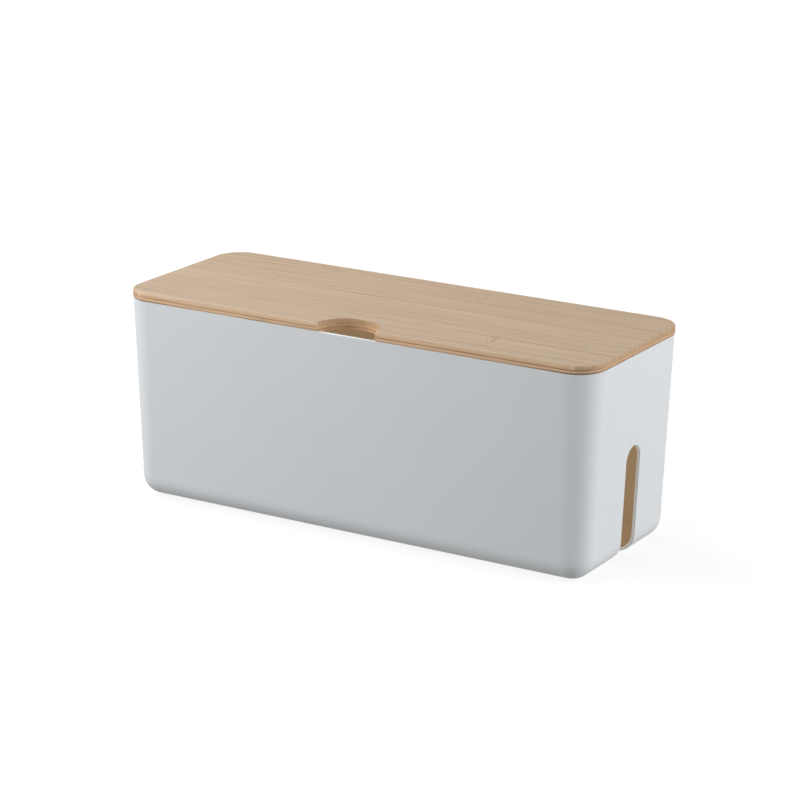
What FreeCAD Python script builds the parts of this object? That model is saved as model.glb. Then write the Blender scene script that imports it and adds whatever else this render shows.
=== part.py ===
import FreeCAD, Part

import math
import os

import Sketcher

# Desktop cable box: a moulded box with a cable slot at each end, and a loose bamboo lid glued up
# from strips.
# Millimetres. The origin is at the middle of the footprint, on the surface that the feet stand on.
# +X runs along the box, -Y is the front, where the lid has its finger notch, and +Z is up.

DIMENSIONS = (
    ("rim_length", 330.8, "outside of the shell at its rim, along X"),
    ("rim_width", 124.2, "outside of the shell at its rim, along Y"),
    ("rim_corner", 18.5, "outer corner radius at the rim"),
    ("shell_height", 130.2, "underside of the base to the rim"),
    ("draft_run", 5.0, "how far each wall leans in from the rim to the base"),
    ("base_round", 13.0, "radius between the walls and the base"),
    ("wall", 2.0, "wall and base thickness"),
    ("rim_round", 0.6, "rounding of the rim's two arrises"),
    ("slot_width", 17.8, "cable slot, across"),
    ("slot_rearward", 2.0, "middle of a cable slot behind the middle of its wall"),
    ("slot_top", 72.0, "underside of the base to the top of a cable slot"),
    ("slot_inner", 146.7, "where a cable slot stops under the base, from the middle"),
    ("slot_round", 0.6, "rounding of a cable slot's outer edge"),
    ("foot_diameter", 10.0, "rubber foot"),
    ("foot_proud", 1.5, "how far a foot stands out of the base"),
    ("foot_recess", 0.6, "depth of a foot's seat in the base"),
    ("foot_round", 0.4, "rounding of a foot's lower edge"),
    ("foot_along", 128.0, "feet from the middle, along X"),
    ("foot_across", 29.0, "feet from the middle, along Y"),
    ("lid_overhang", 0.3, "lid past the rim, all round"),
    ("lower_ply", 2.5, "thickness of the lid's lower layer of strips"),
    ("upper_ply", 3.1, "thickness of the lid's upper layer of strips"),
    ("top_round", 1.4, "rounding of the lid's top edge"),
    ("under_round", 0.5, "rounding of the lid's bottom edge"),
    ("strip_width", 21.0, "one bamboo strip, before the lid is cut to size"),
    ("upper_joint", 9.5, "middle of the lid to the nearest joint of the upper layer"),
    ("lower_joint", 18.4, "middle of the lid to the nearest joint behind it of the lower layer"),
    ("notch_radius", 20.6, "half-round finger notch"),
    ("step_depth", 1.4, "how far the lid's stepped underside drops inside the rim"),
    ("step_gap", 0.6, "stepped underside to the inside of the rim, all round"),
)

doc = FreeCAD.newDocument("cable_box")
sheet = doc.addObject("Spreadsheet::Sheet", "Sizes")
for row, (alias, value, meaning) in enumerate(DIMENSIONS, 1):
    sheet.set(f"A{row}", meaning)
    sheet.set(f"B{row}", str(value))
    sheet.setAlias(f"B{row}", alias)
doc.recompute()

BASE = "Sizes.foot_proud"
RIM = "(Sizes.foot_proud + Sizes.shell_height)"
LID_LENGTH = "(Sizes.rim_length + 2 * Sizes.lid_overhang)"
LID_WIDTH = "(Sizes.rim_width + 2 * Sizes.lid_overhang)"
LID_CORNER = "(Sizes.rim_corner + Sizes.lid_overhang)"

# how near a point must be to a height or to an outline to count as on it
ON_HEIGHT = 0.0001
ON_OUTLINE = 0.001
ON_WALL = 0.05
POINTS_PER_EDGE = 7
LEAST_CUT_VOLUME = 1.0

parts = []


def size(name):
    return getattr(sheet, name)


def bind(thing, **expressions):
    """Tie properties to the sheet. Two underscores in a name stand for a dot, as in Placement__Base__z."""
    for name, expression in expressions.items():
        thing.setExpression(name.replace("__", "."), expression)


def new_part(kind, name):
    """Add an object that is a sub-part: its label names its file."""
    thing = doc.addObject(kind, name)
    thing.Label = name
    parts.append(thing)
    return thing


def plane(body, role):
    return next(item for item in body.Origin.OriginFeatures if item.Role == role)


def new_sketch(body, name, role):
    sketch = body.newObject("Sketcher::SketchObject", name)
    sketch.AttachmentSupport = [(plane(body, role), "")]
    sketch.MapMode = "FlatFace"
    return sketch


def hold(sketch, name, expression, kind, *geometry):
    """Add a dimension to a sketch, name it, and tie it to the sheet."""
    start = sketch.evalExpression(expression)
    index = sketch.addConstraint(Sketcher.Constraint(kind, *geometry, float(start)))
    sketch.renameConstraint(index, name)
    sketch.setExpression(f"Constraints.{name}", expression)


def rounded_rectangle(sketch, length, width, radius):
    """Draw a rectangle with round corners about the sketch's origin. Its three sizes are expressions."""
    r = float(sketch.evalExpression(radius))
    x = float(sketch.evalExpression(length)) / 2 - r
    y = float(sketch.evalExpression(width)) / 2 - r
    up = FreeCAD.Vector(0, 0, 1)
    corners = [(x, -y), (x, y), (-x, y), (-x, -y)]
    sides = []
    arcs = []
    for turn, (cx, cy) in enumerate(corners):
        start = math.radians(90 * (turn - 1))
        out = FreeCAD.Vector(math.cos(start) * r, math.sin(start) * r, 0)
        px, py = corners[turn - 1]
        side = Part.LineSegment(FreeCAD.Vector(px, py, 0) + out, FreeCAD.Vector(cx, cy, 0) + out)
        sides.append(sketch.addGeometry(side))
        circle = Part.Circle(FreeCAD.Vector(cx, cy, 0), up, r)
        arcs.append(sketch.addGeometry(Part.ArcOfCircle(circle, start, start + math.pi / 2)))
    for turn in range(4):
        sketch.addConstraint(Sketcher.Constraint("Tangent", sides[turn], 2, arcs[turn], 1))
        sketch.addConstraint(Sketcher.Constraint("Tangent", arcs[turn - 1], 2, sides[turn], 1))
    for turn in range(3):
        sketch.addConstraint(Sketcher.Constraint("Equal", arcs[turn], arcs[turn + 1]))
    sketch.addConstraint(Sketcher.Constraint("Horizontal", sides[0]))
    sketch.addConstraint(Sketcher.Constraint("Vertical", sides[1]))
    sketch.addConstraint(Sketcher.Constraint("Symmetric", arcs[0], 3, arcs[2], 3, -1, 1))
    hold(sketch, "length", length, "DistanceX", sides[3], 1, sides[1], 1)
    hold(sketch, "width", width, "DistanceY", sides[0], 1, sides[2], 1)
    hold(sketch, "corner", radius, "Radius", arcs[0])


def edges_where(shape, test):
    """Name the edges whose every point passes the test."""
    names = []
    for index, edge in enumerate(shape.Edges, 1):
        points = edge.discretize(POINTS_PER_EDGE)
        if all(test(point) for point in points):
            names.append(f"Edge{index}")
    return names


def at_height(z):
    return lambda point: abs(point.z - z) < ON_HEIGHT


def dress(body, kind, name, base, elements, **expressions):
    """Add a fillet or a chamfer to a body's last feature."""
    feature = body.newObject(f"PartDesign::{kind}", name)
    feature.Base = (base, elements)
    bind(feature, **expressions)
    return feature


def raise_box(body, prefix, length, width, corner, height):
    """Pad a rounded rectangle up from the body's XY plane."""
    outline = new_sketch(body, f"{prefix}_outline", "XY_Plane")
    rounded_rectangle(outline, length, width, corner)
    pad = body.newObject("PartDesign::Pad", f"{prefix}_block")
    pad.Profile = outline
    bind(pad, Length=height)
    return pad


def check_cut(feature, before, what):
    """Stop if a pocket has taken nothing away."""
    if feature.Shape.Volume > before - LEAST_CUT_VOLUME:
        raise RuntimeError(f"{what} cut nothing")


def cut_cable_slots(body):
    """Cut a round-topped slot in the right wall and the base's round edge, and mirror it to the left."""
    sketch = new_sketch(body, "slot_outline", "YZ_Plane")
    bind(sketch, AttachmentOffset__Base__z="Sizes.slot_inner")
    half = size("slot_width") / 2
    middle = size("slot_rearward")
    spring = size("slot_top") - half
    floor = -size("wall")
    corner = [FreeCAD.Vector(middle - half, floor, 0), FreeCAD.Vector(middle + half, floor, 0)]
    shoulder = [FreeCAD.Vector(middle - half, spring, 0), FreeCAD.Vector(middle + half, spring, 0)]
    bottom = sketch.addGeometry(Part.LineSegment(corner[0], corner[1]))
    right = sketch.addGeometry(Part.LineSegment(corner[1], shoulder[1]))
    circle = Part.Circle(FreeCAD.Vector(middle, spring, 0), FreeCAD.Vector(0, 0, 1), half)
    arch = sketch.addGeometry(Part.ArcOfCircle(circle, 0, math.pi))
    left = sketch.addGeometry(Part.LineSegment(shoulder[0], corner[0]))
    sketch.addConstraint(Sketcher.Constraint("Coincident", bottom, 2, right, 1))
    sketch.addConstraint(Sketcher.Constraint("Tangent", right, 2, arch, 1))
    sketch.addConstraint(Sketcher.Constraint("Tangent", arch, 2, left, 1))
    sketch.addConstraint(Sketcher.Constraint("Coincident", left, 2, bottom, 1))
    sketch.addConstraint(Sketcher.Constraint("Horizontal", bottom))
    sketch.addConstraint(Sketcher.Constraint("Vertical", right))
    hold(sketch, "rearward", "Sizes.slot_rearward", "DistanceX", -1, 1, arch, 3)
    hold(sketch, "arch", "Sizes.slot_width / 2", "Radius", arch)
    hold(sketch, "spring", "Sizes.slot_top - Sizes.slot_width / 2", "DistanceY", -1, 1, arch, 3)
    hold(sketch, "floor", "Sizes.wall", "DistanceY", bottom, 1, -1, 1)
    before = body.Tip.Shape.Volume
    pocket = body.newObject("PartDesign::Pocket", "cable_slot")
    pocket.Profile = sketch
    pocket.Type = "ThroughAll"
    pocket.Reversed = True
    doc.recompute()
    check_cut(pocket, before, "the cable slot")
    mirror = body.newObject("PartDesign::Mirrored", "cable_slots")
    mirror.Originals = [pocket]
    mirror.MirrorPlane = (plane(body, "YZ_Plane"), [""])
    body.Tip = mirror
    doc.recompute()
    check_cut(mirror, pocket.Shape.Volume, "the mirrored cable slot")
    return mirror


def foot_places():
    """Give each foot's name, and its place as two expressions."""
    for y_name, y_sign in (("front", "-"), ("rear", "")):
        for x_name, x_sign in (("left", "-"), ("right", "")):
            along = f"{x_sign}Sizes.foot_along"
            across = f"{y_sign}Sizes.foot_across"
            yield f"foot_{y_name}_{x_name}", along, across


def sink_foot_seats(body):
    """Sink a shallow round seat into the base for each foot."""
    sketch = new_sketch(body, "foot_seat_outline", "XY_Plane")
    radius = size("foot_diameter") / 2
    for name, along, across in foot_places():
        x = float(sketch.evalExpression(along))
        y = float(sketch.evalExpression(across))
        circle = Part.Circle(FreeCAD.Vector(x, y, 0), FreeCAD.Vector(0, 0, 1), radius)
        ring = sketch.addGeometry(circle)
        hold(sketch, f"{name}_x", along, "DistanceX", -1, 1, ring, 3)
        hold(sketch, f"{name}_y", across, "DistanceY", -1, 1, ring, 3)
        hold(sketch, f"{name}_size", "Sizes.foot_diameter", "Diameter", ring)
    before = body.Tip.Shape.Volume
    pocket = body.newObject("PartDesign::Pocket", "foot_seats")
    pocket.Profile = sketch
    pocket.Reversed = True
    bind(pocket, Length="Sizes.foot_recess")
    doc.recompute()
    check_cut(pocket, before, "the foot seats")
    return pocket


def on_slot_mouth(point):
    """Say whether a point is on the edge where a cable slot meets the shell's outside."""
    half = size("slot_width") / 2
    spring = size("slot_top") - half
    aside = abs(point.y - size("slot_rearward"))
    if point.z > spring:
        across = math.hypot(aside, point.z - spring)
    else:
        across = aside
    if abs(across - half) > ON_OUTLINE or abs(point.x) < size("slot_inner") + ON_OUTLINE:
        return False
    return outside_x(point.z) - abs(point.x) < ON_WALL


def outside_x(z):
    """Give the shell's outside half-length at a height, on its wall or on the base's round edge."""
    lean = size("draft_run") / size("shell_height")
    foot = size("rim_length") / 2 - size("draft_run")
    angle = math.atan(lean)
    r = size("base_round")
    cx = foot + r * (lean - 1 / math.cos(angle))
    if z >= r * (1 - math.sin(angle)):
        return foot + lean * z
    return cx + math.sqrt(max(r * r - (r - z) ** 2, 0))


def raise_form(body, prefix, inset, rounding):
    """Raise a drafted block with a rounded lower edge, inset from the shell's outside by an amount."""
    lean = f"2 * Sizes.draft_run * (1 - ({inset}) / Sizes.shell_height) + 2 * ({inset})"
    block = raise_box(
        body,
        prefix,
        f"Sizes.rim_length - ({lean})",
        f"Sizes.rim_width - ({lean})",
        f"Sizes.rim_corner - ({lean}) / 2",
        f"Sizes.shell_height - ({inset})",
    )
    bind(block, TaperAngle="atan(Sizes.draft_run / Sizes.shell_height)")
    doc.recompute()
    lower = edges_where(block.Shape, at_height(0))
    dress(body, "Fillet", f"{prefix}_lower_edge", block, lower, Radius=rounding)
    doc.recompute()


def build_shell():
    """The moulded box: open at the top, with walls that lean in to a rounded base, and a slot at each end."""
    core = doc.addObject("PartDesign::Body", "shell_core")
    raise_form(core, "core", "Sizes.wall", "Sizes.base_round - Sizes.wall")
    bind(core, Placement__Base__z="Sizes.wall")
    body = new_part("PartDesign::Body", "box_shell")
    raise_form(body, "shell", "0", "Sizes.base_round")
    before = body.Tip.Shape.Volume
    hollow = body.newObject("PartDesign::Boolean", "hollow")
    hollow.setObjects([core])
    hollow.Type = "Cut"
    doc.recompute()
    check_cut(hollow, before, "the hollow")
    bind(body, Placement__Base__z=BASE)
    rim_edges = edges_where(hollow.Shape, at_height(size("shell_height")))
    dress(body, "Fillet", "rim", hollow, rim_edges, Radius="Sizes.rim_round")
    doc.recompute()
    slots = cut_cable_slots(body)
    mouth = edges_where(slots.Shape, on_slot_mouth)
    dress(body, "Fillet", "slot_mouths", slots, mouth, Radius="Sizes.slot_round")
    doc.recompute()
    sink_foot_seats(body)


def build_feet():
    """Four rubber discs, seated in the base, with a rounded lower edge."""
    for name, along, across in foot_places():
        disc = doc.addObject("Part::Cylinder", f"{name}_disc")
        bind(disc, Radius="Sizes.foot_diameter / 2", Height="Sizes.foot_proud + Sizes.foot_recess")
        doc.recompute()
        edges = enumerate(disc.Shape.Edges, 1)
        lower = next(index for index, edge in edges if edge.BoundBox.ZMax < ON_HEIGHT)
        foot = new_part("Part::Fillet", name)
        foot.Base = disc
        foot.Edges = [(lower, size("foot_round"), size("foot_round"))]
        bind(foot, Placement__Base__x=along, Placement__Base__y=across)


def notch_lid(body, name, upward):
    """Cut the half-round finger notch out of a layer of the lid, above or below its own XY plane."""
    sketch = new_sketch(body, f"{name}_outline", "XY_Plane")
    radius = size("notch_radius")
    y = -float(sketch.evalExpression(LID_WIDTH)) / 2
    circle = Part.Circle(FreeCAD.Vector(0, y, 0), FreeCAD.Vector(0, 0, 1), radius)
    ring = sketch.addGeometry(circle)
    sketch.addConstraint(Sketcher.Constraint("PointOnObject", ring, 3, -2))
    hold(sketch, "edge", f"{LID_WIDTH} / 2", "DistanceY", ring, 3, -1, 1)
    hold(sketch, "reach", "Sizes.notch_radius", "Radius", ring)
    before = body.Tip.Shape.Volume
    pocket = body.newObject("PartDesign::Pocket", name)
    pocket.Profile = sketch
    pocket.Type = "ThroughAll"
    pocket.Reversed = upward
    doc.recompute()
    check_cut(pocket, before, "the finger notch")
    return pocket


def build_layer(prefix, bottom, thickness, rounded_face, radius):
    """One layer of the lid before it is sawn: its outline, the notch, and the round on its outer face."""
    body = doc.addObject("PartDesign::Body", f"{prefix}_layer")
    bind(body, Placement__Base__z=bottom)
    raise_box(body, prefix, LID_LENGTH, LID_WIDTH, LID_CORNER, thickness)
    doc.recompute()
    notch = notch_lid(body, f"{prefix}_notch", True)
    edges = edges_where(notch.Shape, at_height(rounded_face))
    dress(body, "Fillet", f"{prefix}_round", notch, edges, Radius=radius)
    doc.recompute()
    return body


def step_underside(body):
    """Leave the lower layer thicker inside the rim, so that the lid can't slide off, and notch that too."""
    outline = new_sketch(body, "step_outline", "XY_Plane")
    inset = "2 * (Sizes.wall + Sizes.step_gap)"
    corner = "(Sizes.rim_corner - Sizes.wall - Sizes.step_gap)"
    rounded_rectangle(outline, f"Sizes.rim_length - {inset}", f"Sizes.rim_width - {inset}", corner)
    pad = body.newObject("PartDesign::Pad", "step_block")
    pad.Profile = outline
    pad.Reversed = True
    bind(pad, Length="Sizes.step_depth")
    doc.recompute()
    notch_lid(body, "step_notch", False)


def saw_strip(layer, name, low, high, left, right, bottom, thickness):
    """Cut one bamboo strip out of a layer. The sides of its place are expressions."""
    place = doc.addObject("Part::Box", f"{name}_place")
    bind(
        place,
        Length=f"{right} - ({left})",
        Width=f"{high} - ({low})",
        Height=thickness,
        Placement__Base__x=left,
        Placement__Base__y=low,
        Placement__Base__z=bottom,
    )
    strip = new_part("Part::Common", name)
    strip.Base = layer
    strip.Tool = place


def build_strips(prefix, layer, joints, bottom, thickness):
    """Saw a layer into its strips, front to rear. The notch cuts the front strip in two, left and right."""
    half = f"{LID_LENGTH} / 2"
    front = f"-{LID_WIDTH} / 2"
    rear = f"{LID_WIDTH} / 2"
    sides = [front, *joints, rear]
    for side, left, right in (("left", f"-{half}", "0"), ("right", "0", half)):
        saw_strip(layer, f"{prefix}_front_{side}", sides[0], sides[1], left, right, bottom, thickness)
    for number, (low, high) in enumerate(zip(sides[1:], sides[2:]), 1):
        saw_strip(layer, f"{prefix}_strip_{number}", low, high, f"-{half}", half, bottom, thickness)


def build_lid():
    """Two glued layers of strips. The lower layer is stepped, and its joints lie between the upper ones."""
    seam = f"({RIM} + Sizes.lower_ply)"
    lower = build_layer("lower", RIM, "Sizes.lower_ply", 0, "Sizes.under_round")
    upper = build_layer("upper", seam, "Sizes.upper_ply", size("upper_ply"), "Sizes.top_round")
    lower_joints = [f"(Sizes.lower_joint + {step} * Sizes.strip_width)" for step in (-3, -2, -1, 0, 1)]
    upper_joints = [f"(Sizes.upper_joint + {step} * Sizes.strip_width)" for step in (-3, -2, -1, 0, 1, 2)]
    step_underside(lower)
    underside = f"({RIM} - Sizes.step_depth)"
    build_strips("lower", lower, lower_joints, underside, "(Sizes.lower_ply + Sizes.step_depth)")
    build_strips("upper", upper, upper_joints, seam, "Sizes.upper_ply")


build_shell()
build_feet()
build_lid()
doc.recompute()

for thing in doc.Objects:
    if "Invalid" in thing.State or "Error" in thing.State:
        raise RuntimeError(f"{thing.Name} failed: {thing.State}")
for part in parts:
    if part.Shape.isNull() or not part.Shape.isValid() or len(part.Shape.Solids) != 1:
        raise RuntimeError(f"{part.Label} is not one valid solid")

os.makedirs("parts", exist_ok=True)
for part in parts:
    part.Shape.exportStep(f"parts/{part.Label}.step")
    box = part.Shape.BoundBox
    reach = f"{box.XLength:.1f} x {box.YLength:.1f} x {box.ZLength:.1f}"
    print(f"{part.Label}: {reach}, {part.Shape.Volume:.0f} mm3")
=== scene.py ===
import math

import bmesh
import bpy
from mathutils import Matrix, Vector


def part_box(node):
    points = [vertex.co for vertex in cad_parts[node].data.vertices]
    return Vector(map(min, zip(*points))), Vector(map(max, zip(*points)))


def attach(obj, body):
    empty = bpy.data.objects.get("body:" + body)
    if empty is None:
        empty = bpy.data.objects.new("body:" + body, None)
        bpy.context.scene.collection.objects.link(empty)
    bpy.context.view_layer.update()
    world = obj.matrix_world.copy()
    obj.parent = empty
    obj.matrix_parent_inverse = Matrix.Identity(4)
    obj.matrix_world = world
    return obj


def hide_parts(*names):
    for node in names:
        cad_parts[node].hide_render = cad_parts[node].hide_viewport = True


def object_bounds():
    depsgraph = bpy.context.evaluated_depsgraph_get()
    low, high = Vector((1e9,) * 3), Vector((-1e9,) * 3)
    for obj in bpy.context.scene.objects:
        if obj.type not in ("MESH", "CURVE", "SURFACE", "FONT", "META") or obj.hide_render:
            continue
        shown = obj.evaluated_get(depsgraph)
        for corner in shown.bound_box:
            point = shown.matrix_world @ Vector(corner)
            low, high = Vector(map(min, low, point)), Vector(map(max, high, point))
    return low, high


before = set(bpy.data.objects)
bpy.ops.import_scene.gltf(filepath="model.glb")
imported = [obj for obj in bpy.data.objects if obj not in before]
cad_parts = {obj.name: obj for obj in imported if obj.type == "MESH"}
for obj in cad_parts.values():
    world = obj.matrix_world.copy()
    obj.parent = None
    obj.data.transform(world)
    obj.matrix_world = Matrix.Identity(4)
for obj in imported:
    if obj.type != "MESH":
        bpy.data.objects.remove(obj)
cad_low, cad_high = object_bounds()

# ---------------------------------------------------------------- sizes
MM = 0.001
NEAR = 0.01 * MM

LID_CORNER = 18.8 * MM
TOP_ROUND = 1.4 * MM
UNDER_ROUND = 0.7 * MM
NOTCH_EASE = 0.2 * MM
STEP_INSET = 2.9 * MM
CHORD_SLACK = 0.1 * MM
SEAM_EASE = 0.22 * MM
JOINT_EASE = 0.09 * MM
ROUND_SEGMENTS = 6
EASE_SEGMENTS = 2
CORNER_SEGMENTS = 24
NOTCH_STEPS = 36
SHARP_EDGE = math.radians(32)
ARRIS = math.radians(40)


# ---------------------------------------------------------------- small node helpers
def add_node(tree, kind, **settings):
    """A node of that kind with its properties set."""
    node = tree.nodes.new(kind)
    for name, value in settings.items():
        setattr(node, name, value)
    return node


def feed(tree, socket, value):
    """Joins a socket to an output, or sets it to a plain number or colour."""
    if isinstance(value, bpy.types.NodeSocket):
        tree.links.new(value, socket)
    else:
        socket.default_value = value


def calc(tree, operation, *values, clamp=False):
    """A Math node's result."""
    node = add_node(tree, "ShaderNodeMath", operation=operation, use_clamp=clamp)
    for socket, value in zip(node.inputs, values):
        feed(tree, socket, value)
    return node.outputs[0]


def times(tree, first, second):
    """The product of two values."""
    return calc(tree, "MULTIPLY", first, second)


def minus(tree, first, second):
    """The first value less the second."""
    return calc(tree, "SUBTRACT", first, second)


def plus(tree, first, second, clamp=False):
    """The sum of two values."""
    return calc(tree, "ADD", first, second, clamp=clamp)


def size_of(tree, value):
    """A value without its sign."""
    return calc(tree, "ABSOLUTE", value)


def vector_calc(tree, operation, *values):
    """A Vector Math node's vector."""
    node = add_node(tree, "ShaderNodeVectorMath", operation=operation)
    for socket, value in zip(node.inputs, values):
        feed(tree, socket, value)
    return node.outputs["Value" if operation == "DOT_PRODUCT" else "Vector"]


def split(tree, vector):
    """The X, Y and Z of a vector."""
    node = add_node(tree, "ShaderNodeSeparateXYZ")
    tree.links.new(vector, node.inputs[0])
    return node.outputs[0], node.outputs[1], node.outputs[2]


def join(tree, x, y, z):
    """A vector from three values."""
    node = add_node(tree, "ShaderNodeCombineXYZ")
    for socket, value in zip(node.inputs, (x, y, z)):
        feed(tree, socket, value)
    return node.outputs[0]


def fade(tree, value, start, end, low=0.0, high=1.0):
    """Goes smoothly from low to high while the value goes from start to end."""
    node = add_node(tree, "ShaderNodeMapRange", interpolation_type="SMOOTHSTEP")
    for socket, setting in zip(node.inputs, (value, start, end, low, high)):
        feed(tree, socket, setting)
    return node.outputs[0]


def noise(tree, vector, scale=1.0, detail=2.0, roughness=0.5):
    """A noise value from 0 to 1."""
    node = add_node(tree, "ShaderNodeTexNoise", noise_dimensions="3D")
    tree.links.new(vector, node.inputs["Vector"])
    node.inputs["Scale"].default_value = scale
    node.inputs["Detail"].default_value = detail
    node.inputs["Roughness"].default_value = roughness
    return node.outputs[0]


def grain(tree, place, frequency, detail, roughness=0.5):
    """Noise drawn out along the axes whose frequency, per millimetre, is low."""
    return noise(tree, vector_calc(tree, "MULTIPLY", place, frequency), 1.0, detail, roughness)


def blend_colour(tree, share, first, second, blend="MIX"):
    """Two colours blended by a share."""
    node = add_node(tree, "ShaderNodeMix", data_type="RGBA", blend_type=blend)
    feed(tree, node.inputs["Factor"], share)
    feed(tree, node.inputs[6], first)
    feed(tree, node.inputs[7], second)
    return node.outputs[2]


def tint(tree, colour, by):
    """A colour multiplied by another."""
    return blend_colour(tree, 1.0, colour, by, "MULTIPLY")


def new_group(name, inputs, outputs):
    """An empty shader group with named sockets: (tree, its inputs by name, its output node)."""
    tree = bpy.data.node_groups.new(name, "ShaderNodeTree")
    for label, kind, value in inputs:
        socket = tree.interface.new_socket(label, in_out="INPUT", socket_type=kind)
        if value is not None:
            socket.default_value = value
    for label, kind in outputs:
        tree.interface.new_socket(label, in_out="OUTPUT", socket_type=kind)
    entry = add_node(tree, "NodeGroupInput")
    leave = add_node(tree, "NodeGroupOutput")
    return tree, entry.outputs, leave.inputs


def place_group(tree, group, **values):
    """The group placed in a tree, with its inputs set by name (an underscore stands for a space)."""
    node = add_node(tree, "ShaderNodeGroup", node_tree=group)
    for name, value in values.items():
        feed(tree, node.inputs[name.replace("_", " ")], value)
    return node.outputs


def new_material(name):
    """A material with an empty Principled shader: (material, its tree, the shader)."""
    material = bpy.data.materials.new(name)
    material.use_nodes = True
    tree = material.node_tree
    tree.nodes.clear()
    shader = add_node(tree, "ShaderNodeBsdfPrincipled")
    output = add_node(tree, "ShaderNodeOutputMaterial")
    tree.links.new(shader.outputs["BSDF"], output.inputs["Surface"])
    return material, tree, shader


def object_place(tree):
    """The object's own coordinates, in millimetres, and its own normal."""
    node = add_node(tree, "ShaderNodeTexCoord")
    scaled = vector_calc(tree, "MULTIPLY", node.outputs["Object"], (1 / MM,) * 3)
    return scaled, node.outputs["Normal"]


def bump(tree, shader, height, depth):
    """Feeds the shader's normal from a height of 0 to 1, that deep in metres."""
    node = add_node(tree, "ShaderNodeBump")
    node.inputs["Strength"].default_value = 1.0
    node.inputs["Distance"].default_value = depth
    feed(tree, node.inputs["Height"], height)
    tree.links.new(node.outputs["Normal"], shader.inputs["Normal"])


# ---------------------------------------------------------------- shared effects
COLOUR = "NodeSocketColor"
NUMBER = "NodeSocketFloat"
VECTOR = "NodeSocketVector"

# how often each pattern in the wood repeats per millimetre: along, across and up
FIBRE_GRAIN = (0.012, 1.9, 1.9)
STREAK_GRAIN = (0.005, 0.3, 0.3)
BLUSH_GRAIN = (0.012, 0.05, 0.05)
THREAD_GRAIN = (0.05, 2.1, 2.1)
VEIN_GRAIN = (0.02, 0.75, 0.75)
SPECKLE_GRAIN = (0.32, 0.8, 0.8)
STIR_GRAIN = (0.25, 0.3, 0.3)
DOT_GRAIN = (1.0, 2.6, 2.6)

# what each effect multiplies the wood's colour by
BLUSH = (1.0, 0.97, 0.985, 1)
# darker and more orange on the side faces
SIDE_TINT = (1.02, 0.90, 0.74, 1)
# painted light: brightens the upper ply's long side faces
LONG_EDGE_LIGHT = (1.38, 1.41, 1.50, 1)
BLEACHED = (1.06, 1.07, 1.09, 1)
MARKED = (0.62, 0.52, 0.42, 1)
# the glue seam's colour, also used for the painted contact shade where the lid rests on the rim
GLUE_AND_SHADE = (0.42, 0.31, 0.23, 1)

# places on the lid, in millimetres
KNUCKLE_REACH = 8.0
RIDGE_REACH = 1.0
SCAR_OFFSET = 2.2
SCAR_REACH = 0.5
JOINT_LINE = (0.2, 0.9)
SEAM_LINE = (0.15, 0.42)
NOTCH_SIDE = (21.0, 23.0)
NOTCH_BACK = (-20.0, 0.0)
LONG_EDGE_PLACE = (60.6, 61.4)
LID_END = (110.0, 155.0)


def make_skin_group():
    """Fine moulded texture with slow unevenness, as on satin plastic and rubber."""
    tree, given, out = new_group(
        "moulded_skin",
        [("Place", VECTOR, None), ("Fineness", NUMBER, 3.0), ("Seed", NUMBER, 0.0)],
        [("Height", NUMBER), ("Unevenness", NUMBER), ("Handling", NUMBER)],
    )
    shift = join(tree, times(tree, given["Seed"], 41.0), given["Seed"], 0.0)
    place = vector_calc(tree, "ADD", given["Place"], shift)
    fine = vector_calc(tree, "SCALE", place)
    feed(tree, fine.node.inputs["Scale"], given["Fineness"])
    pits = noise(tree, fine, 1.0, 2.0, 0.6)
    ripple = noise(tree, place, 0.045, 1.0)
    tree.links.new(plus(tree, times(tree, pits, 0.35), ripple), out["Height"])
    tree.links.new(noise(tree, place, 0.018, 3.0, 0.55), out["Unevenness"])
    smudge = noise(tree, place, 0.035, 4.0, 0.6)
    tree.links.new(fade(tree, smudge, 0.48, 0.7), out["Handling"])
    return tree


def knuckle_effects(tree, given, x, y, seed):
    """The knuckle, a slightly wavy band across the strip: its swelling, ridge, scar and dashes."""
    strength = given["Knuckle Strength"]
    wave = noise(tree, join(tree, seed, times(tree, y, 0.22), 0.0), 1.0, 2.0)
    wander = times(tree, minus(tree, wave, 0.5), 9.0)
    from_knuckle = minus(tree, minus(tree, x, given["Knuckle"]), wander)
    reach = size_of(tree, from_knuckle)
    swelling = times(tree, fade(tree, reach, 0.0, KNUCKLE_REACH, 1.0, 0.0), strength)
    ridge = times(tree, fade(tree, reach, 0.0, RIDGE_REACH, 1.0, 0.0), strength)
    speckle = grain(tree, given["Place"], SPECKLE_GRAIN, 1.0)
    dashes = times(tree, fade(tree, speckle, 0.53, 0.62), swelling)
    scar_reach = size_of(tree, minus(tree, from_knuckle, SCAR_OFFSET))
    scar = times(tree, fade(tree, scar_reach, 0.0, SCAR_REACH, 1.0, 0.0), strength)
    return swelling, ridge, scar, dashes


def straight_grain(tree, given, x, y, z, seed, swelling):
    """Coordinates that follow the fibres: long, nearly straight, and pushed about at the knuckle."""
    sway = noise(tree, join(tree, times(tree, x, 0.007), seed, 0.0), 1.0, 1.0)
    stir = grain(tree, given["Place"], STIR_GRAIN, 2.0)
    push = times(tree, times(tree, stir, swelling), 2.5)
    across = plus(tree, plus(tree, y, times(tree, sway, 3.0)), push)
    return join(tree, plus(tree, x, seed), across, z)


def joint_effect(tree, given, x, y, side_face):
    """The glue lines between strips, which come and go along the lid and are faint on its edges."""
    to_front = size_of(tree, minus(tree, y, given["Joint Front"]))
    to_rear = size_of(tree, minus(tree, y, given["Joint Rear"]))
    to_joint = calc(tree, "MINIMUM", to_front, to_rear)
    patchy = noise(tree, join(tree, times(tree, x, 0.016), given["Joint Front"], 0.0), 1.0, 1.0)
    shown = times(tree, fade(tree, patchy, 0.38, 0.58, 0.3, 1.0), given["Joint Strength"])
    shown = times(tree, shown, minus(tree, 1.0, times(tree, side_face, 0.7)))
    return times(tree, fade(tree, to_joint, *JOINT_LINE, 1.0, 0.0), shown)


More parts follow.
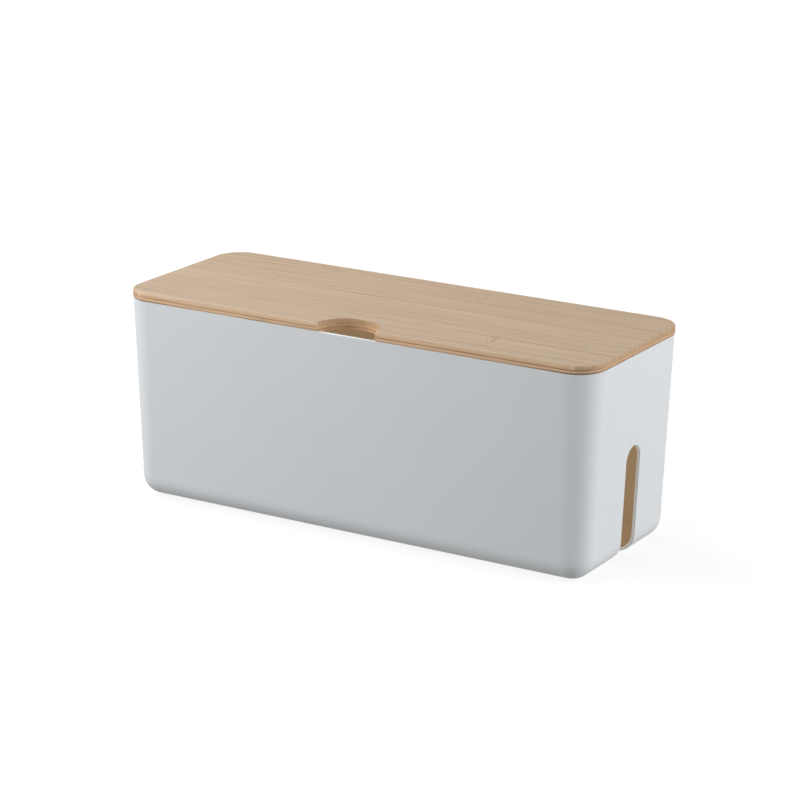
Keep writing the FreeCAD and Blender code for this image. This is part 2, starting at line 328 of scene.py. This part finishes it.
def seam_effect(tree, given, x, y, z, end_face):
    """The glue seam between the two plies, nearly gone on the ends and inside the notch."""
    to_seam = size_of(tree, minus(tree, z, given["Seam Level"]))
    squeezed = noise(tree, join(tree, times(tree, x, 0.03), times(tree, y, 0.03), 7.0), 1.0, 1.0)
    shown = times(tree, fade(tree, squeezed, 0.35, 0.6, 0.6, 1.0), given["Seam Strength"])
    shown = times(tree, shown, minus(tree, 1.0, times(tree, end_face, 0.8)))
    beside_notch = fade(tree, size_of(tree, x), *NOTCH_SIDE, 0.2, 1.0)
    outside_notch = calc(tree, "MAXIMUM", beside_notch, fade(tree, y, *NOTCH_BACK))
    return times(tree, fade(tree, to_seam, *SEAM_LINE, 1.0, 0.0), times(tree, shown, outside_notch))


def rest_shade_effect(tree, given, x, z):
    """Painted contact shade just above the level where the lid rests on the rim, most of it near the ends."""
    above_rest = minus(tree, z, given["Rest Level"])
    near_end = fade(tree, size_of(tree, x), *LID_END, 0.3, 1.0)
    shaded_band = times(tree, fade(tree, above_rest, -0.1, 0.0), fade(tree, above_rest, 0.5, 1.2, 1.0, 0.0))
    return times(tree, shaded_band, near_end)


def make_bamboo_group():
    """One sawn bamboo strip: fibres along X, a knuckle across it, dotted end grain, dark glue lines, and
    painted light and shade on its edges.
    """
    tree, given, out = new_group(
        "bamboo_strip",
        [
            ("Place", VECTOR, None),
            ("Normal", VECTOR, None),
            ("Seed", NUMBER, 0.0),
            ("Pale", COLOUR, (0.6, 0.45, 0.3, 1)),
            ("Deep", COLOUR, (0.4, 0.27, 0.15, 1)),
            ("Knuckle", NUMBER, 0.0),
            ("Knuckle Strength", NUMBER, 1.0),
            ("Joint Front", NUMBER, 0.0),
            ("Joint Rear", NUMBER, 0.0),
            ("Joint Strength", NUMBER, 1.0),
            ("Seam Level", NUMBER, 0.0),
            ("Seam Strength", NUMBER, 1.0),
            ("Rest Level", NUMBER, -1000.0),
        ],
        [("Color", COLOUR), ("Roughness", NUMBER), ("Height", NUMBER)],
    )
    x, y, z = split(tree, given["Place"])
    seed = times(tree, given["Seed"], 57.0)
    swelling, ridge, scar, dashes = knuckle_effects(tree, given, x, y, seed)

    # the wood's own pattern
    straight = straight_grain(tree, given, x, y, z, seed, swelling)
    fibre = grain(tree, straight, FIBRE_GRAIN, 3.0, 0.6)
    streak = grain(tree, straight, STREAK_GRAIN, 2.0)
    blush = grain(tree, straight, BLUSH_GRAIN, 2.0)
    threads = fade(tree, grain(tree, straight, THREAD_GRAIN, 1.0), 0.64, 0.74)
    veins = fade(tree, grain(tree, straight, VEIN_GRAIN, 1.0), 0.56, 0.7)

    # which way a face looks: end grain shows on the faces that look along X
    facing, _, rising = split(tree, given["Normal"])
    end_face = fade(tree, size_of(tree, facing), 0.55, 0.95)
    side_face = fade(tree, size_of(tree, rising), 0.85, 0.4)
    upright = fade(tree, size_of(tree, rising), 0.75, 0.1)
    dots = times(tree, fade(tree, grain(tree, given["Place"], DOT_GRAIN, 1.0), 0.52, 0.68), end_face)

    joint_line = joint_effect(tree, given, x, y, side_face)
    seam_line = seam_effect(tree, given, x, y, z, end_face)
    painted_rest_shade = rest_shade_effect(tree, given, x, z)

    # the base colour, darker and more orange on the side faces, with painted light making the upper ply's
    # long side faces lighter, and paler at the knuckle
    tone = plus(tree, times(tree, streak, 0.5), times(tree, fibre, 0.55))
    colour = blend_colour(tree, fade(tree, tone, 0.36, 0.72), given["Pale"], given["Deep"])
    colour = blend_colour(tree, fade(tree, blush, 0.4, 0.62), colour, tint(tree, colour, BLUSH))
    # the side faces are made darker and more orange
    colour = blend_colour(tree, side_face, colour, tint(tree, colour, SIDE_TINT))
    outer = fade(tree, size_of(tree, y), *LONG_EDGE_PLACE)
    upper = fade(tree, minus(tree, z, given["Seam Level"]), -0.1, 0.1, 0.45, 1.0)
    long_edge_light = times(tree, times(tree, upright, outer), upper)
    colour = blend_colour(tree, long_edge_light, colour, tint(tree, colour, LONG_EDGE_LIGHT))
    colour = blend_colour(tree, times(tree, swelling, 0.6), colour, tint(tree, given["Pale"], BLEACHED))

    # dark marks, each with its strength, then the glue seam and the painted contact shade over them
    strengths = (
        (threads, 0.3), (veins, 0.3), (ridge, 0.2), (scar, 0.3),
        (dashes, 0.75), (dots, 0.38), (end_face, 0.1), (joint_line, 0.62),
    )
    marks = 0.0
    for mark, strength in strengths:
        marks = plus(tree, marks, times(tree, mark, strength), clamp=True)
    colour = blend_colour(tree, marks, colour, tint(tree, given["Deep"], MARKED))
    # the glue seam, and the painted contact shade where the lid rests
    glue_and_shade = calc(tree, "MAXIMUM", seam_line, painted_rest_shade)
    colour = blend_colour(tree, glue_and_shade, colour, tint(tree, given["Deep"], GLUE_AND_SHADE))
    tree.links.new(colour, out["Color"])

    rough = plus(tree, 0.44, times(tree, fibre, 0.16))
    rough = plus(tree, rough, times(tree, end_face, 0.2), clamp=True)
    tree.links.new(rough, out["Roughness"])

    height = minus(tree, times(tree, fibre, 0.6), times(tree, threads, 0.3))
    height = plus(tree, height, times(tree, ridge, 0.4))
    tree.links.new(height, out["Height"])
    return tree


skin_group = make_skin_group()
bamboo_group = make_bamboo_group()


# ---------------------------------------------------------------- materials
# each pair is mottled together: a colour and a slightly lighter one
WHITE = ((0.762, 0.788, 0.808, 1), (0.793, 0.817, 0.836, 1))
# painted light: the warm bounce from the lid, painted as a tan on the inside faces
INSIDE_BOUNCE_TAN = ((0.56, 0.48, 0.37, 1), (0.62, 0.54, 0.43, 1))
RUBBER_GREY = ((0.2, 0.2, 0.2, 1), (0.28, 0.28, 0.275, 1))
FLOOR_GREY = ((0.20, 0.20, 0.20, 1), (0.22, 0.22, 0.22, 1))

BLACK = (0, 0, 0, 1)
INSIDE_GLOW = (0.25, 0.19, 0.115, 1)
SLOT_GLOW = (0.42, 0.41, 0.40, 1)
GLOW_STRENGTH = 0.5
SKIN_DEPTH = 0.03 * MM
WOOD_DEPTH = 0.05 * MM
RUBBER_DEPTH = 0.05 * MM

# how far outward a face looks from the box's middle, in millimetres: from, to
INSIDE_FACES = (-14.0, -40.0)
SLOT_FACES = (10.0, -4.0)

PALE = (0.64, 0.505, 0.372)
DEEP = (0.485, 0.358, 0.243)
UNDER_PALE = (0.74, 0.56, 0.40)
UNDER_DEEP = (0.58, 0.42, 0.285)


def white_plastic():
    """Matte white moulded plastic. The inside faces get a painted tan for the lid's warm bounce light. They
    and the slot's cut edges also get a painted glow for light passing through the walls.
    """
    material, tree, shader = new_material("white_plastic")
    place, normal = object_place(tree)
    skin = place_group(tree, skin_group, Place=place, Fineness=2.6)
    middle = (0.0, 0.0, 0.5 * (cad_low.z + cad_high.z) / MM)
    outward = vector_calc(tree, "DOT_PRODUCT", vector_calc(tree, "SUBTRACT", place, middle), normal)
    inside = fade(tree, outward, *INSIDE_FACES)
    slot_edge = minus(tree, fade(tree, outward, *SLOT_FACES), inside)
    white = blend_colour(tree, skin["Unevenness"], *WHITE)
    bounce_tan = blend_colour(tree, skin["Unevenness"], *INSIDE_BOUNCE_TAN)
    tree.links.new(blend_colour(tree, inside, white, bounce_tan), shader.inputs["Base Color"])
    rough = plus(tree, 0.5, times(tree, skin["Handling"], -0.06))
    tree.links.new(rough, shader.inputs["Roughness"])
    glow = blend_colour(tree, inside, BLACK, INSIDE_GLOW)
    glow = blend_colour(tree, slot_edge, glow, SLOT_GLOW)
    tree.links.new(glow, shader.inputs["Emission Color"])
    shader.inputs["Emission Strength"].default_value = GLOW_STRENGTH
    shader.inputs["Specular IOR Level"].default_value = 0.4
    bump(tree, shader, skin["Height"], SKIN_DEPTH)
    return material


def bamboo(name, colours, looks, joints, seam, rest):
    """Sanded, matt-lacquered bamboo for one strip. Its tone goes from 0, pale, to 1, deep."""
    tone, seed, knuckle, knuckle_strength, joint_strength, seam_strength = looks
    material, tree, shader = new_material(name)
    place, normal = object_place(tree)
    palest, deepest = (Vector(colour) for colour in colours)
    pale = palest.lerp(deepest, 0.4 * tone)
    deep = palest.lerp(deepest, 0.6 + 0.4 * tone)
    wood = place_group(
        tree, bamboo_group, Place=place, Normal=normal, Seed=seed,
        Pale=(*pale, 1.0), Deep=(*deep, 1.0),
        Knuckle=knuckle, Knuckle_Strength=knuckle_strength,
        Joint_Front=joints[0], Joint_Rear=joints[1], Joint_Strength=joint_strength,
        Seam_Level=seam, Seam_Strength=seam_strength, Rest_Level=rest,
    )
    tree.links.new(wood["Color"], shader.inputs["Base Color"])
    tree.links.new(wood["Roughness"], shader.inputs["Roughness"])
    shader.inputs["Specular IOR Level"].default_value = 0.35
    bump(tree, shader, wood["Height"], WOOD_DEPTH)
    return material


def rubber():
    """Soft grey non-slip rubber."""
    material, tree, shader = new_material("rubber")
    place, _ = object_place(tree)
    skin = place_group(tree, skin_group, Place=place, Fineness=6.0, Seed=3.0)
    colour = blend_colour(tree, skin["Unevenness"], *RUBBER_GREY)
    tree.links.new(colour, shader.inputs["Base Color"])
    rough = plus(tree, 0.72, times(tree, skin["Handling"], 0.1))
    tree.links.new(rough, shader.inputs["Roughness"])
    bump(tree, shader, skin["Height"], RUBBER_DEPTH)
    return material


# ---------------------------------------------------------------- lid
def span(names):
    """Lowest and highest corner of several CAD nodes together."""
    boxes = [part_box(name) for name in names]
    low = Vector(min(box[0][axis] for box in boxes) for axis in range(3))
    high = Vector(max(box[1][axis] for box in boxes) for axis in range(3))
    return low, high


def raise_outline(bm, low, high, corner, notch_radius, notch_front):
    """Adds a rounded block with a half-round bite, whose middle is on the line y = notch_front."""
    earlier = set(bm.faces)
    notch_middle = Vector((0.0, notch_front, low.z))
    start = math.asin((low.y - notch_front) / notch_radius)
    mouth = bm.verts.new(notch_middle + notch_radius * Vector((math.cos(start), math.sin(start), 0.0)))
    turned = bmesh.ops.spin(
        bm, geom=[mouth], cent=notch_middle, axis=(0, 0, 1), angle=math.pi - 2 * start, steps=NOTCH_STEPS,
    )
    far_mouth = next(item for item in turned["geom_last"] if isinstance(item, bmesh.types.BMVert))
    outline = ((low.x, low.y), (low.x, high.y), (high.x, high.y), (high.x, low.y))
    corners = [bm.verts.new((x, y, low.z)) for x, y in outline]
    walk = [far_mouth, *corners, mouth]
    for first, second in zip(walk, walk[1:]):
        bm.edges.new((first, second))
    loose = [e for e in bm.edges if not e.link_faces]
    bmesh.ops.contextual_create(bm, geom=loose)
    bmesh.ops.bevel(
        bm, geom=corners, offset=corner, segments=CORNER_SEGMENTS,
        profile=0.5, affect="VERTICES", material=-1,
    )
    raised = bmesh.ops.extrude_face_region(bm, geom=[f for f in bm.faces if f not in earlier])
    top = [item for item in raised["geom"] if isinstance(item, bmesh.types.BMVert)]
    bmesh.ops.translate(bm, vec=(0, 0, high.z - low.z), verts=top)
    bmesh.ops.recalc_face_normals(bm, faces=bm.faces[:])


def in_notch(vertex, bm, radius):
    """Whether a vertex lies on the notch's half-round wall."""
    front = min(v.co.y for v in bm.verts)
    reach = math.hypot(vertex.co.x, vertex.co.y - front)
    return abs(reach - radius) < CHORD_SLACK


def round_rim(bm, level, radius, segments, notch_radius):
    """Rounds the outline's edge at that height, all but the notch's."""
    notched = {v for v in bm.verts if in_notch(v, bm, notch_radius)}
    rim = [
        e for e in bm.edges
        if all(abs(v.co.z - level) < NEAR for v in e.verts) and not all(v in notched for v in e.verts)
    ]
    bmesh.ops.bevel(
        bm, geom=rim, offset=radius, segments=segments,
        profile=0.5, affect="EDGES", material=-1, clamp_overlap=False,
    )


def ease_notch(bm, notch_radius):
    """Breaks the arrises all round the notch, which is cut after the rim is rounded."""
    notched = {v for v in bm.verts if in_notch(v, bm, notch_radius)}
    arrises = [
        e for e in bm.edges
        if all(v in notched for v in e.verts) and e.calc_face_angle(0.0) > ARRIS
    ]
    bmesh.ops.bevel(
        bm, geom=arrises, offset=NOTCH_EASE, segments=EASE_SEGMENTS,
        profile=0.5, affect="EDGES", material=-1, clamp_overlap=True,
    )


def saw(bm, place, direction):
    """Cuts across the ply, keeps the side that direction points away from, and closes the cut."""
    everything = bm.verts[:] + bm.edges[:] + bm.faces[:]
    cut = bmesh.ops.bisect_plane(
        bm, geom=everything, dist=NEAR, plane_co=place, plane_no=direction, clear_outer=True,
    )
    edges = [item for item in cut["geom_cut"] if isinstance(item, bmesh.types.BMEdge)]
    if edges:
        bmesh.ops.edgeloop_fill(bm, edges=edges)


def ease_joint(bm, y):
    """Breaks the sharp arrises of the cut face at that Y."""
    cut = [f for f in bm.faces if all(abs(v.co.y - y) < NEAR for v in f.verts)]
    edges = list({e for f in cut for e in f.edges})
    bmesh.ops.bevel(
        bm, geom=edges, offset=JOINT_EASE, segments=EASE_SEGMENTS,
        profile=0.5, affect="EDGES", material=-1, clamp_overlap=True,
    )


def finish_mesh(bm, name, material):
    """Turns a bmesh into an object with soft shading between its true arrises."""
    bmesh.ops.remove_doubles(bm, verts=bm.verts[:], dist=NEAR * 0.1)
    bmesh.ops.recalc_face_normals(bm, faces=bm.faces[:])
    mesh = bpy.data.meshes.new(name)
    bm.to_mesh(mesh)
    bm.free()
    mesh.polygons.foreach_set("use_smooth", [True] * len(mesh.polygons))
    mesh.set_sharp_from_angle(angle=SHARP_EDGE)
    mesh.materials.append(material)
    piece = bpy.data.objects.new(name, mesh)
    bpy.context.scene.collection.objects.link(piece)
    shading = piece.modifiers.new("even_shading", "WEIGHTED_NORMAL")
    shading.keep_sharp = True
    shading.weight = 100
    return piece


def build_strip(blank, node, material):
    """Saws one strip out of the ply where its CAD node lies, and lets it stand for that node."""
    low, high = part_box(node)
    ply_low = min(v.co.y for v in blank.verts)
    ply_high = max(v.co.y for v in blank.verts)
    bm = blank.copy()
    joints = []
    if low.y > ply_low + NEAR:
        saw(bm, (0, low.y, 0), (0, -1, 0))
        joints.append(low.y)
    if high.y < ply_high - NEAR:
        saw(bm, (0, high.y, 0), (0, 1, 0))
        joints.append(high.y)
    if node.endswith("_left"):
        saw(bm, (0, 0, 0), (1, 0, 0))
    if node.endswith("_right"):
        saw(bm, (0, 0, 0), (-1, 0, 0))
    for y in joints:
        ease_joint(bm, y)
    piece = finish_mesh(bm, "wood_" + node, material)
    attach(piece, "lid")
    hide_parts(node)
    return piece


# each strip: tone, seed, knuckle place along X in mm, knuckle strength, joint strength, seam strength
UPPER = {
    "upper_front_left": (0.30, 1.0, -90.0, 0.0, 0.8, 0.55),
    "upper_front_right": (0.40, 2.0, 60.0, 0.0, 0.8, 0.85),
    "upper_strip_1": (0.35, 3.0, 87.0, 1.0, 0.9, 0.3),
    "upper_strip_2": (0.50, 4.0, -140.0, 0.4, 0.9, 0.4),
    "upper_strip_3": (0.30, 5.0, 7.0, 0.5, 1.0, 0.4),
    "upper_strip_4": (0.45, 6.0, -109.0, 0.7, 1.0, 0.4),
    "upper_strip_5": (0.55, 7.0, 37.0, 0.7, 0.9, 0.4),
    "upper_strip_6": (0.60, 8.0, 140.0, 0.4, 0.8, 0.6),
}
LOWER = {
    "lower_front_left": (0.2, 11.0, -60.0, 0.3, 0.5, 0.55),
    "lower_front_right": (0.2, 12.0, 110.0, 0.3, 0.5, 0.85),
    "lower_strip_1": (0.5, 13.0, -30.0, 0.6, 1.0, 0.3),
    "lower_strip_2": (0.3, 14.0, 120.0, 0.6, 1.0, 0.4),
    "lower_strip_3": (0.6, 15.0, -100.0, 0.7, 1.0, 0.4),
    "lower_strip_4": (0.4, 16.0, 20.0, 0.6, 1.0, 0.4),
    "lower_strip_5": (0.5, 17.0, 70.0, 0.6, 1.0, 0.6),
}
# the upper ply gets no painted contact shade
NO_REST_SHADE = -1.0


def build_ply(strips, colours, top_round, bottom_round, seam, bottom, rest_shade_level):
    """One glued-up ply sawn back into its strips, with a step under it where the CAD strips reach lower."""
    low, high = span(strips)
    front_right = next(name for name in strips if name.endswith("_front_right"))
    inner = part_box(front_right)
    notch_radius = math.hypot(inner[0].x, inner[1].y - low.y)
    blank = bmesh.new()
    raise_outline(blank, Vector((low.x, low.y, bottom)), high, LID_CORNER, notch_radius, low.y)
    round_rim(blank, high.z, *top_round, notch_radius)
    round_rim(blank, bottom, *bottom_round, notch_radius)
    ease_notch(blank, notch_radius)
    if bottom > low.z + NEAR:
        inset = Vector((STEP_INSET, STEP_INSET, 0.0))
        step_low = low + inset
        step_high = Vector((high.x, high.y, bottom + NEAR)) - inset
        raise_outline(blank, step_low, step_high, LID_CORNER - STEP_INSET, notch_radius, low.y)
    for node, looks in strips.items():
        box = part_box(node)
        joints = (box[0].y / MM, box[1].y / MM)
        material = bamboo("bamboo_" + node, colours, looks, joints, seam / MM, rest_shade_level / MM)
        build_strip(blank, node, material)
    blank.free()


# ---------------------------------------------------------------- box
def finish_shell():
    """The moulded shell keeps its CAD shape and gets its plastic."""
    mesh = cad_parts["box_shell"].data
    mesh.materials.clear()
    mesh.materials.append(white_plastic())


def finish_feet():
    """The rubber feet under the base."""
    material = rubber()
    for name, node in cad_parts.items():
        if name.startswith("foot_"):
            node.data.materials.clear()
            node.data.materials.append(material)


# ---------------------------------------------------------------- studio
AZIMUTH = math.radians(30.71)
ELEVATION = math.radians(16.93)
ROLL = math.radians(0.54)
DISTANCE = 1.78607
AIM = Vector((-0.0002, 0.0029, 0.0750))
SENSOR = 36.0
LENS = 128.77

# soft boxes: place, size, watts, colour
LIGHTS = {
    "near_left_box": ((-0.8, -0.8, 0.5), 0.6, 7.18, (1.0, 1.0, 1.0)),
    "right_box": ((1.9, 0.2, 0.8), 1.1, 24.6, (1.0, 1.0, 1.0)),
    "rear_right_box": ((1.4, 1.2, 0.8), 1.0, 9.0, (1.0, 1.0, 1.0)),
    "front_top_box": ((-0.4, -1.2, 1.7), 1.2, 13.5, (1.0, 1.0, 1.0)),
    "left_top_box": ((-1.2, 0.3, 1.5), 1.2, 21.4, (1.0, 1.0, 1.0)),
}
LIGHT_AIM = Vector((0, 0, 0.07))
BOUNCE_LIGHT = 0.40
SKY_LIGHT = 0.0
HORIZON_BLUR = 0.05
CLIP_NEAR = 0.05
CLIP_FAR = 50.0

# the floor: half its side in metres, and its glow from the middle outward, over a reach in millimetres
FLOOR_HALF = 6.0
GLOW_NEAR = 200.0
GLOW_FAR = 1200.0
FLOOR_GLOW = ((0.83, 0.83, 0.83, 1), (1.0, 1.0, 1.0, 1))


def build_camera():
    """The camera, level with a small roll, looking down at the front right corner."""
    data = bpy.data.cameras.new("camera")
    data.sensor_width = SENSOR
    data.lens = LENS
    data.clip_start = CLIP_NEAR
    data.clip_end = CLIP_FAR
    back = Vector((
        math.sin(AZIMUTH) * math.cos(ELEVATION),
        -math.cos(AZIMUTH) * math.cos(ELEVATION),
        math.sin(ELEVATION),
    ))
    turn = (-back).to_track_quat("-Z", "Y").to_matrix() @ Matrix.Rotation(ROLL, 3, "Z")
    camera = bpy.data.objects.new("camera", data)
    camera.matrix_world = Matrix.Translation(AIM + back * DISTANCE) @ turn.to_4x4()
    bpy.context.scene.collection.objects.link(camera)
    bpy.context.scene.camera = camera


def build_lights():
    """Soft boxes to the left, to the right and overhead, each turned to the object."""
    for name, (place, size, watts, colour) in LIGHTS.items():
        data = bpy.data.lights.new(name, "AREA")
        data.shape = "SQUARE"
        data.size = size
        data.energy = watts
        data.color = colour
        light = bpy.data.objects.new(name, data)
        light.location = place
        light.rotation_mode = "QUATERNION"
        light.rotation_quaternion = (LIGHT_AIM - Vector(place)).to_track_quat("-Z", "Y")
        light.visible_camera = False
        bpy.context.scene.collection.objects.link(light)


def build_world():
    """Light thrown back up by the studio's floor. Behind the object the room itself is plain white."""
    world = bpy.data.worlds.new("studio")
    world.use_nodes = True
    tree = world.node_tree
    background = tree.nodes["Background"]
    direction = add_node(tree, "ShaderNodeTexCoord").outputs["Generated"]
    _, _, rise = split(tree, direction)
    seen = add_node(tree, "ShaderNodeLightPath").outputs["Is Camera Ray"]
    thrown = fade(tree, rise, -HORIZON_BLUR, HORIZON_BLUR, BOUNCE_LIGHT, SKY_LIGHT)
    level = calc(tree, "MAXIMUM", thrown, seen)
    tree.links.new(level, background.inputs["Strength"])
    background.inputs["Color"].default_value = (1.0, 1.0, 1.0, 1)
    bpy.context.scene.world = world


def build_floor():
    """A plain floor under the feet that glows a little, more so farther out, to stay white as it recedes."""
    bm = bmesh.new()
    bmesh.ops.create_grid(bm, x_segments=2, y_segments=2, size=FLOOR_HALF)
    material, tree, shader = new_material("pale_floor")
    place, _ = object_place(tree)
    mottle = noise(tree, place, 0.004, 2.0)
    colour = blend_colour(tree, mottle, *FLOOR_GREY)
    tree.links.new(colour, shader.inputs["Base Color"])
    x, y, _ = split(tree, place)
    reach = calc(tree, "SQRT", plus(tree, times(tree, x, x), times(tree, y, y)))
    far = fade(tree, reach, GLOW_NEAR, GLOW_FAR)
    glow = blend_colour(tree, far, *FLOOR_GLOW)
    tree.links.new(glow, shader.inputs["Emission Color"])
    shader.inputs["Emission Strength"].default_value = 1.0
    shader.inputs["Roughness"].default_value = 0.9
    shader.inputs["Specular IOR Level"].default_value = 0.1
    floor = finish_mesh(bm, "floor", material)
    floor.visible_diffuse = False
    floor.visible_glossy = False


build_camera()
build_lights()
build_world()
build_floor()
finish_shell()
finish_feet()
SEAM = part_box("upper_strip_1")[0].z
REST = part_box("box_shell")[1].z
build_ply(
    UPPER, (PALE, DEEP),
    (TOP_ROUND, ROUND_SEGMENTS), (SEAM_EASE, EASE_SEGMENTS), SEAM, SEAM, NO_REST_SHADE,
)
build_ply(
    LOWER, (UNDER_PALE, UNDER_DEEP),
    (SEAM_EASE, EASE_SEGMENTS), (UNDER_ROUND, EASE_SEGMENTS), SEAM, REST, REST,
)
bpy.context.scene.view_settings.view_transform = "Standard"
